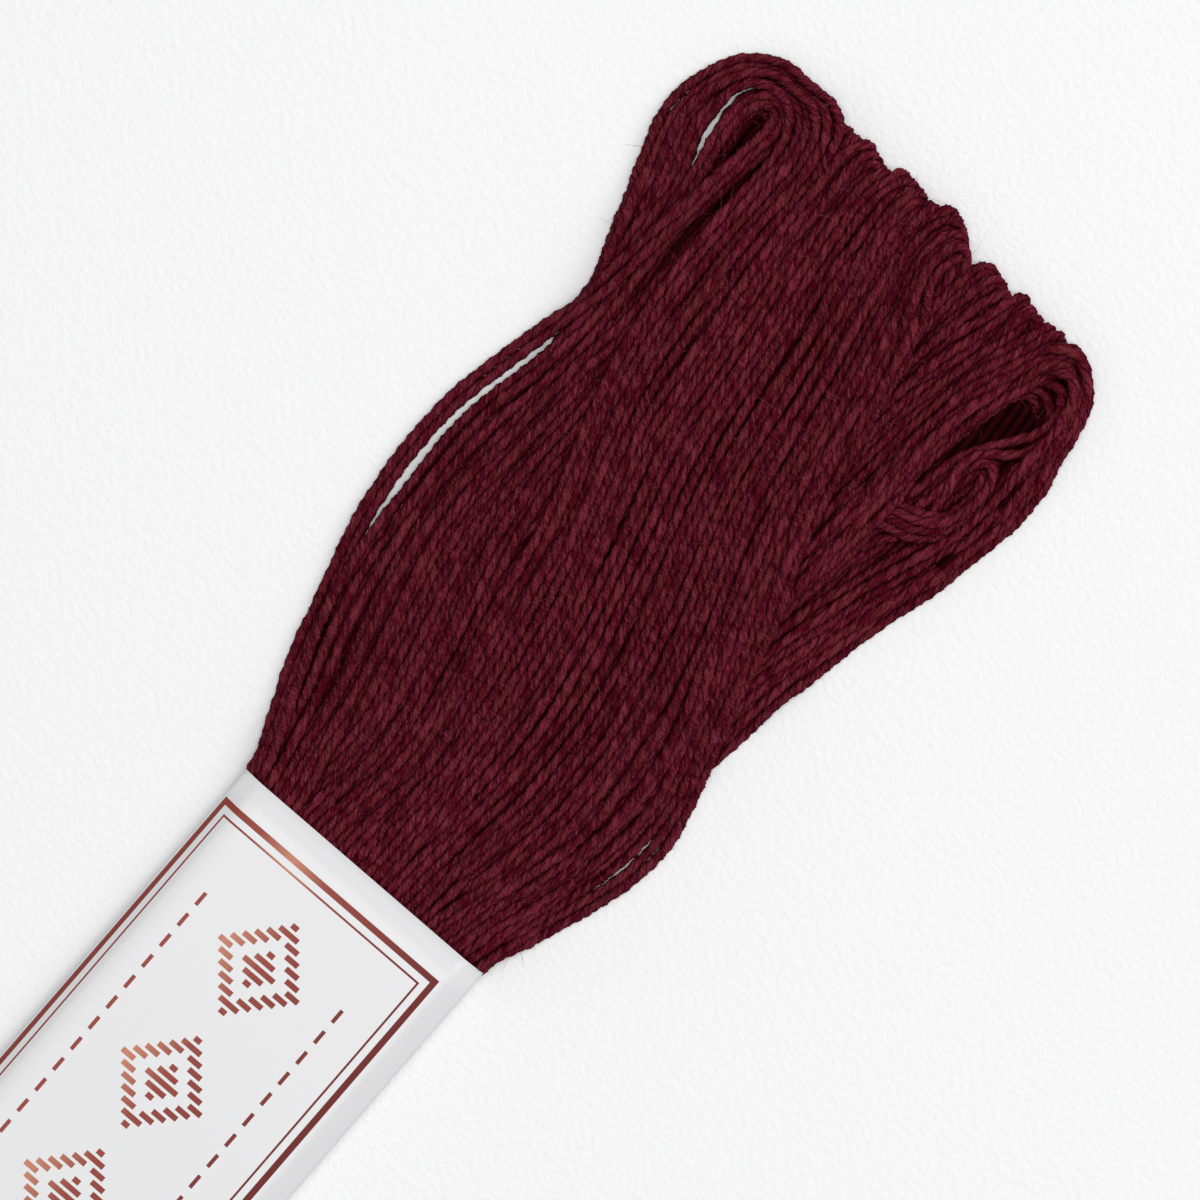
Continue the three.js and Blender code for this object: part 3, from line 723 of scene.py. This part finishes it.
# Columns: x, y of the end there
INNER_ENDS = np.array([
    (-19, 80.6), (-17, 81.6), (-15.4, 84), (-14.4, 84.7), (-13.4, 84.6), (-12.4, 83.8), (-9, 83),
    (-5, 83.6), (-2, 83.2), (1.5, 83.8), (3.6, 82.8), (5, 80.6), (7, 82.4), (9, 81.6), (11, 82.4),
    (13.4, 81.6), (15.5, 81.8), (19, 81.2), (21, 79.6), (22.6, 78),
])
ENDS_FROM = 75.0
inner_y = np.arange(INNER_BORDERS[0, 0], INNER_BORDERS[-1, 0] + INNER_STEP / 3, INNER_STEP)
inner_left = np.interp(inner_y, INNER_BORDERS[:, 0], INNER_BORDERS[:, 1])[:, None]
inner_right = np.interp(inner_y, INNER_BORDERS[:, 0], INNER_BORDERS[:, 2])[:, None]
inner_share = np.linspace(0, 1, 2 * INNER_TURNS + 1)
inner_x = inner_left + inner_share * (inner_right - inner_left)
inner_end = np.interp(inner_x, INNER_ENDS[:, 0], INNER_ENDS[:, 1])
stretch = (inner_end - ENDS_FROM) / (inner_y[-1] - ENDS_FROM)
beyond = np.maximum(inner_y - ENDS_FROM, 0)[:, None]
on_rib = np.arange(len(inner_share)) % 2
rib = np.where(on_rib, INNER_HEIGHTS["rib"], INNER_HEIGHTS["groove"])
in_eye = (inner_x > RIGHT_EYE[0]) & (inner_y[:, None] > RIGHT_EYE[1])
eye_rib = np.where(on_rib, INNER_IN_EYE["rib"], INNER_IN_EYE["groove"])
inner_z = np.where(in_eye, eye_rib, rib)
inner_top = np.stack((inner_x, inner_y[:, None] + beyond * (stretch - 1), inner_z), axis=2)
inner_bottom = inner_top * (1, 1, 0) + (0, 0, INNER_HEIGHTS["under"])


def slab_faces(rows, columns):
    """Faces of a closed slab from a grid of corners on top and the same grid below."""
    grid = np.arange(rows * columns).reshape(rows, columns)
    top = np.stack((grid[:-1, :-1], grid[:-1, 1:], grid[1:, 1:], grid[1:, :-1]), axis=2).reshape(-1, 4)
    rim = np.concatenate((grid[0, :-1], grid[:-1, -1], grid[-1, :0:-1], grid[:0:-1, 0]))
    rim_next = np.roll(rim, -1)
    sides = np.column_stack((rim_next, rim, rim + grid.size, rim_next + grid.size))
    return top, top[:, ::-1] + grid.size, sides


inner_corners = np.vstack((inner_top.reshape(-1, 3), inner_bottom.reshape(-1, 3)))
inner = mesh_object("inner_turns", placed(inner_corners), [np.vstack(slab_faces(*inner_x.shape))])
# Where the sheet's painted light falls: 1 on its ribs, 0 in its grooves and underneath.
rib_painted_light = np.concatenate((np.tile(on_rib, len(inner_y)), np.zeros(inner_x.size)))
rib_painted_light_layer = inner.data.attributes.new("rib_painted_light", "FLOAT", "POINT")
rib_painted_light_layer.data.foreach_set("value", rib_painted_light)
# Painted shade: the sheet is near black in its grooves and a dark red on its ribs, with random noise
# between, instead of the thread's own wine red.
INNER_PAINTED_SHADE_GROOVE = (0.003, 0.0003, 0.0006, 1)
INNER_PAINTED_SHADE_RIB = (0.05, 0.0034, 0.0075, 1)
inner_material, tree, shader = new_material("cotton_painted_dark_as_shade")
inner_place = add_node(tree, "ShaderNodeTexCoord")
inner_shade = add_node(
    tree, "ShaderNodeTexNoise", {"Vector": inner_place.outputs["Object"], "Scale": INNER_GRAIN}
)
rib_painted_light_node = add_node(tree, "ShaderNodeAttribute", attribute_name="rib_painted_light")
inner_painted_light = add_node(
    tree, "ShaderNodeMath", {0: inner_shade.outputs[0], 1: rib_painted_light_node.outputs["Fac"]}, operation="MULTIPLY"
)
inner_painted_shade_mix = add_node(
    tree, "ShaderNodeMix", {0: inner_painted_light.outputs[0], 6: INNER_PAINTED_SHADE_GROOVE, 7: INNER_PAINTED_SHADE_RIB}, data_type="RGBA"
)
tree.links.new(inner_painted_shade_mix.outputs[2], shader.inputs["Base Color"])
shader.inputs["Roughness"].default_value = 0.95
shader.inputs["Specular IOR Level"].default_value = 0.0
inner.data.materials.append(inner_material)
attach(inner, "root")
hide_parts("skein")

# Fuzz: single cotton fibres that have worked loose from the plies of the looped end. Each is a thin curved
# hair, rooted in its thread and thinner towards its tip, and they are of lighter and darker wine red.
FIBRES = 1700
FIBRE_RADII = np.array((0.016, 0.016, 0.014, 0.011, 0.007))
FIBRE_LENGTHS = (0.6, 2.4)
FIBRE_CURL = 0.5
FIBRE_SIDES = 3
FIBRE_RISE = 0.5
FIBRE_ROOT = 0.1
FIBRE_CLEAR = 1
FIBRE_LOWEST = 0.01
runs = [turn["run"] for turn in looped]
fibre_corners = []
for k in range(FIBRES):
    run = runs[chance.integers(len(runs))]
    clear = np.flatnonzero(run[:, 1] > FIBRE_CLEAR)
    root = run[clear[chance.integers(len(clear))]]
    out = chance.normal(size=3) + (0, 0, FIBRE_RISE)
    out /= np.linalg.norm(out)
    bend = np.cross(out, chance.normal(size=3))
    along = np.linspace(0, 1, len(FIBRE_RADII))[:, None]
    reach = chance.uniform(*FIBRE_LENGTHS)
    path = root + out * (THREAD / 2 - FIBRE_ROOT + reach * along) + bend * (FIBRE_CURL * reach * along**2)
    side = np.cross(out, bend)
    side /= np.linalg.norm(side)
    rise = np.cross(side, out)
    for angle in 2 * math.pi * np.arange(FIBRE_SIDES) / FIBRE_SIDES:
        fibre_corners.append(path + FIBRE_RADII[:, None] * (math.cos(angle) * side + math.sin(angle) * rise))
fibre_corners = np.array(fibre_corners).reshape(FIBRES, FIBRE_SIDES, -1, 3).transpose(0, 2, 1, 3)
fibre_corners[..., 2] = np.maximum(fibre_corners[..., 2], FIBRE_LOWEST)
grid = np.arange(fibre_corners.size // 3).reshape(fibre_corners.shape[:3])
beside = np.roll(grid, -1, axis=2)
walls = np.stack((grid[:, :-1], beside[:, :-1], beside[:, 1:], grid[:, 1:]), axis=3).reshape(-1, 4)
ends = np.vstack((grid[:, 0, ::-1], grid[:, -1]))
fuzz = mesh_object("loose_fibres", placed(fibre_corners.reshape(-1, 3)), [walls, ends])
fuzz.data.shade_smooth()
FUZZ_DARK = (0.12, 0.012, 0.022, 1)
FUZZ_LIGHT = (0.32, 0.06, 0.085, 1)
FUZZ_GRAIN = 400.0
fuzz_material, tree, shader = new_material("loose_cotton")
fuzz_place = add_node(tree, "ShaderNodeTexCoord")
fuzz_shade = add_node(
    tree, "ShaderNodeTexNoise", {"Vector": fuzz_place.outputs["Object"], "Scale": FUZZ_GRAIN}
)
fuzz_mix = add_node(
    tree, "ShaderNodeMix", {0: fuzz_shade.outputs[0], 6: FUZZ_DARK, 7: FUZZ_LIGHT}, data_type="RGBA"
)
tree.links.new(fuzz_mix.outputs[2], shader.inputs["Base Color"])
shader.inputs["Roughness"].default_value = 0.9
fuzz.data.materials.append(fuzz_material)
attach(fuzz, "root")
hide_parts("skein")

# Paper band: a strip of smooth white paper folded round the hank and lapped on its underside. It is printed
# in bronze with a double rule, a column of stepped diamonds like those of counted darning, and a row of
# running stitches on each side of them.
BAND_HEIGHT = (band_high.z - band_low.z) / MM
BAND_WIDTH = (band_high.x - band_low.x) / MM
SIDE_REACH = 2.2
FLAT_HALF = BAND_WIDTH / 2 - SIDE_REACH
# Corners of the band's side from the crease on top to the crease below: x from the crease, height
SIDE_CORNERS = np.array([
    (0, BAND_HEIGHT), (0.25, BAND_HEIGHT - 0.1), (0.5, BAND_HEIGHT - 0.26), (1.2, BAND_HEIGHT - 0.86),
    (1.9, BAND_HEIGHT - 1.56), (SIDE_REACH, BAND_HEIGHT - 2.1), (2.1, 1.4), (1.5, 0.5), (0, 0),
])
LAP = 7.0
LAP_LIFT = 0.26
FRAME_CENTRE = -1.5
FRAME_HALF_WIDTH = 13.8
FRAME_INSET = 3.2
THICK_RULE = 0.65
THIN_RULE = 0.22
RULE_STEP = 1.35
DIAMONDS = 5
DIAMOND_ROWS = 6
DIAMOND_WALL = 2
DIAMOND_CORE = 2
STITCH_UNIT = 0.76
STITCH_HEIGHT = 0.58
ROW_PITCH = 0.88
DIAMOND_PITCH = 14.2
RUNNING_STITCH = (0.4, 1.5)
RUNNING_PITCH = 2.6
RUNNING_STITCHES = 24
RUNNING_PLACE = 8.6
ACROSS_STEP = 2.4
ALONG_STEP = 6.0
CLOSEST_LINES = 0.05
LINE_DIGITS = 4
SLOPE_REACH = 0.15
side_lengths = lengths(SIDE_CORNERS)
paper_half = 2 * FLAT_HALF + side_lengths[-1] + LAP / 2

prints = []
for inset, rule in ((FRAME_INSET, THICK_RULE), (FRAME_INSET + RULE_STEP, THIN_RULE)):
    half = FRAME_HALF_WIDTH - inset + FRAME_INSET
    left, right = FRAME_CENTRE - half, FRAME_CENTRE + half
    top, bottom = -inset, inset - BAND_LENGTH
    prints += [
        (left, right, top - rule, top), (left, right, bottom, bottom + rule),
        (left, left + rule, bottom, top), (right - rule, right, bottom, top),
    ]
for k in range(DIAMONDS):
    middle = -BAND_LENGTH / 2 + (k - (DIAMONDS - 1) / 2) * DIAMOND_PITCH
    for row in range(-DIAMOND_ROWS, DIAMOND_ROWS + 1):
        y = middle + row * ROW_PITCH
        outer = DIAMOND_ROWS - abs(row)
        hole = max(outer - DIAMOND_WALL, -1)
        core = DIAMOND_CORE - abs(row)
        spans = [(-outer, -hole - 1), (hole + 1, outer)] if hole >= 0 else [(-outer, outer)]
        if core >= 0:
            spans.append((-core, core))
        for first, last in spans:
            prints.append((
                FRAME_CENTRE + (first - 0.5) * STITCH_UNIT, FRAME_CENTRE + (last + 0.5) * STITCH_UNIT,
                y - STITCH_HEIGHT / 2, y + STITCH_HEIGHT / 2,
            ))
for side in (-1, 1):
    for k in range(RUNNING_STITCHES):
        x = FRAME_CENTRE + side * RUNNING_PLACE
        y = -BAND_LENGTH / 2 + (k - (RUNNING_STITCHES - 1) / 2) * RUNNING_PITCH
        prints.append((
            x - RUNNING_STITCH[0] / 2, x + RUNNING_STITCH[0] / 2,
            y - RUNNING_STITCH[1] / 2, y + RUNNING_STITCH[1] / 2,
        ))


def grid_lines(low, high, step, edges):
    """Lines of a grid from low to high, with a line on each edge of the print."""
    plain_lines = np.linspace(low, high, int((high - low) / step) + 1)
    lines = np.unique(np.round(np.concatenate((plain_lines, edges)), LINE_DIGITS))
    gaps = np.diff(lines, prepend=low - 1)
    keep = (gaps > CLOSEST_LINES) | np.isin(lines, np.round(edges, LINE_DIGITS)) | (lines == lines[0])
    return lines[keep]


def sleeve(across, y):
    """Point of the folded strip, from its place across the flat paper."""
    side = np.sign(across)
    beyond = np.abs(across) - FLAT_HALF
    below = np.maximum(beyond - side_lengths[-1], 0)
    x = np.minimum(np.abs(across), FLAT_HALF) + np.interp(beyond, side_lengths, SIDE_CORNERS[:, 0]) - below
    z = np.interp(beyond, side_lengths, SIDE_CORNERS[:, 1])
    tucked = (side > 0) * np.clip((below - FLAT_HALF + LAP) / LAP, 0, 1)
    return np.column_stack((side * x, y, z + LAP_LIFT * tucked))


side_lines = [side * (FLAT_HALF + reach) for side in (-1, 1) for reach in side_lengths]
across_edges = side_lines + [edge for box in prints for edge in box[:2]]
across_lines = grid_lines(-paper_half, paper_half, ACROSS_STEP, across_edges)
along_lines = grid_lines(-BAND_LENGTH, 0, ALONG_STEP, [edge for box in prints for edge in box[2:]])
columns, rows = len(across_lines), len(along_lines)
across_grid, along_grid = (g.ravel() for g in np.meshgrid(across_lines, along_lines))
outside = sleeve(across_grid, along_grid)
slope = sleeve(across_grid + SLOPE_REACH, along_grid) - sleeve(across_grid - SLOPE_REACH, along_grid)
inward = np.column_stack((slope[:, 2], 0 * along_grid, -slope[:, 0]))
inside = outside + PAPER * inward / np.linalg.norm(inward, axis=1)[:, None]
faces, lower, rim_faces = slab_faces(rows, columns)
band_faces = np.vstack((faces, lower, rim_faces))
band = mesh_object("paper_band", placed(np.vstack((outside, inside))), [band_faces])
middle_across = (across_lines[:-1] + across_lines[1:]) / 2
middle_along = (along_lines[:-1] + along_lines[1:]) / 2
inked = np.zeros((rows - 1, columns - 1))
for left, right, bottom, top in prints:
    inside_x = (middle_across > left) & (middle_across < right)
    inside_y = (middle_along > bottom) & (middle_along < top)
    inked[np.ix_(inside_y, inside_x)] = 1
ink_layer = band.data.attributes.new("ink", "FLOAT", "FACE")
ink_layer.data.foreach_set("value", np.concatenate((inked.ravel(), np.zeros(len(lower) + len(rim_faces)))))

PAPER_WHITE = (0.725, 0.725, 0.735, 1)
# Painted highlight: the bronze print is coloured brightest along one line across the band and darker to each
# side of it, a lamp's reflection in the foil painted into its colour.
BRONZE_PAINTED_HIGHLIGHT = (0.56, 0.23, 0.15, 1)
BRONZE_LIGHT = (0.30, 0.062, 0.045, 1)
BRONZE_DARK = (0.14, 0.015, 0.015, 1)
PAINTED_HIGHLIGHT_X = -5.5
PAINTED_HIGHLIGHT_REACH = 19
PAINTED_HIGHLIGHT_FALL = 0.22
PAPER_GLOSS = 0.5
INK_GLOSS = 0.1
paper_material, tree, shader = new_material("printed_paper")
paper_place = add_node(tree, "ShaderNodeTexCoord")
paper_axes = add_node(tree, "ShaderNodeSeparateXYZ", {0: paper_place.outputs["Object"]})
from_painted_highlight = add_node(
    tree, "ShaderNodeMath", {0: paper_axes.outputs["X"], 1: PAINTED_HIGHLIGHT_X * MM}, operation="SUBTRACT"
)
painted_highlight_distance = add_node(tree, "ShaderNodeMath", {0: from_painted_highlight.outputs[0]}, operation="ABSOLUTE")
bronze = add_node(tree, "ShaderNodeMapRange", {0: painted_highlight_distance.outputs[0], 1: 0.0, 2: PAINTED_HIGHLIGHT_REACH * MM})
bronze_tones = add_node(tree, "ShaderNodeValToRGB", {"Fac": bronze.outputs[0]})
bronze_tones.color_ramp.elements[0].color = BRONZE_PAINTED_HIGHLIGHT
bronze_tones.color_ramp.elements[1].color = BRONZE_DARK
bronze_tones.color_ramp.elements.new(PAINTED_HIGHLIGHT_FALL).color = BRONZE_LIGHT
ink = add_node(tree, "ShaderNodeAttribute", attribute_name="ink")
print_mix = add_node(
    tree, "ShaderNodeMix", {0: ink.outputs["Fac"], 6: PAPER_WHITE, 7: bronze_tones.outputs[0]},
    data_type="RGBA",
)
tree.links.new(print_mix.outputs[2], shader.inputs["Base Color"])
gloss = add_node(tree, "ShaderNodeMapRange", {0: ink.outputs["Fac"], 3: PAPER_GLOSS, 4: INK_GLOSS})
tree.links.new(gloss.outputs[0], shader.inputs["Specular IOR Level"])
shader.inputs["Roughness"].default_value = 0.35
band.data.materials.append(paper_material)
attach(band, "root")
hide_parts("band")

# Table: the pale, slightly grainy surface that the skein lies on. It is no part of the skein, and is there
# to take its soft shadow.
FLOOR_HALF = 0.8
FLOOR_WHITE = (0.90, 0.90, 0.905, 1)
FLOOR_GRAIN = 1500.0
FLOOR_RELIEF = 0.0003
floor_corners = np.array([(-1, -1, 0), (1, -1, 0), (1, 1, 0), (-1, 1, 0)], float) * FLOOR_HALF
floor = mesh_object("floor", floor_corners, [np.array([[0, 1, 2, 3]])])
floor_material, tree, shader = new_material("pale_table")
floor_place = add_node(tree, "ShaderNodeTexCoord")
grain = add_node(
    tree, "ShaderNodeTexNoise", {"Vector": floor_place.outputs["Object"], "Scale": FLOOR_GRAIN}
)
relief = add_node(
    tree, "ShaderNodeBump", {"Height": grain.outputs[0], "Strength": 0.4, "Distance": FLOOR_RELIEF}
)
tree.links.new(relief.outputs[0], shader.inputs["Normal"])
shader.inputs["Base Color"].default_value = FLOOR_WHITE
shader.inputs["Roughness"].default_value = 0.9
floor.data.materials.append(floor_material)

# Light: a broad soft lamp overhead and a lower one beyond the looped end, in an even white glow from all
# round. The lamps are turned towards the band's upper edge.
GLOW = 0.42
# Columns: name, place, width, power
LAMPS = (
    ("overhead_lamp", (0.02, 0.12, 0.9), 0.7, 4.35),
    ("low_lamp", (0.42, 1.06, 0.58), 0.7, 4.9),
)
world = bpy.data.worlds.new("studio")
world.use_nodes = True
world.node_tree.nodes["Background"].inputs["Color"].default_value = (1, 1, 1, 1)
world.node_tree.nodes["Background"].inputs["Strength"].default_value = GLOW
bpy.context.scene.world = world
for name, place, size, power in LAMPS:
    lamp_data = bpy.data.lights.new(name, "AREA")
    lamp_data.shape = "DISK"
    lamp_data.size = size
    lamp_data.energy = power
    lamp = bpy.data.objects.new(name, lamp_data)
    lamp.location = place
    flat_reach = math.hypot(place[0], place[1] - BAND_EDGE)
    lamp.rotation_euler = (math.atan2(flat_reach, place[2]), 0, math.atan2(place[0], BAND_EDGE - place[1]))
    bpy.context.collection.objects.link(lamp)
